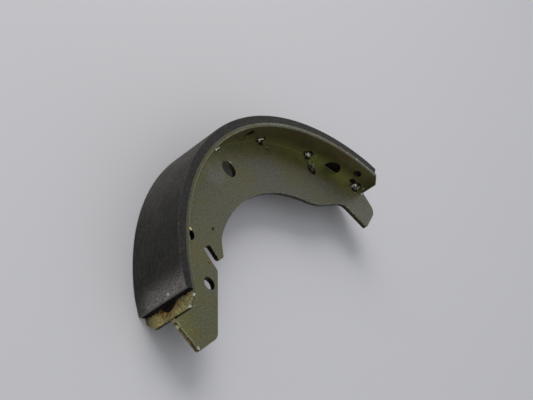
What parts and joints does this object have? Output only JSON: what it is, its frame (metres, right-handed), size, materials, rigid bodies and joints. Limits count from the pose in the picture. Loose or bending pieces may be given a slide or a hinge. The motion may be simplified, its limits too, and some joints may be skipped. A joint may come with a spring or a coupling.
{
  "type": "brake shoe",
  "caption": "Drum-brake shoe: a curved steel table welded to a stamped web with hold-down and spring holes and a strut slot, carrying a bonded friction lining.",
  "frame": {"origin": "middle of the bounding box, in the plane that the shoe lies on; the drum's axis runs along Z at x 0, y -74.09 mm", "axes": "+Z along the drum's axis, up from the side it lies on; +Y from that axis towards the middle of the table's arc; +X towards the right leg, whose foot slopes"},
  "size_m": [0.1968, 0.0818, 0.031],
  "materials": {
    "web_steel": "satin",
    "table_steel": "satin",
    "friction_lining": "matte",
    "weld_metal": "satin"
  },
  "bodies": {
    "root": {"web": "web_steel", "table": "table_steel", "lining": "friction_lining", "weld_spots": "weld_metal"}
  },
  "joints": []
}
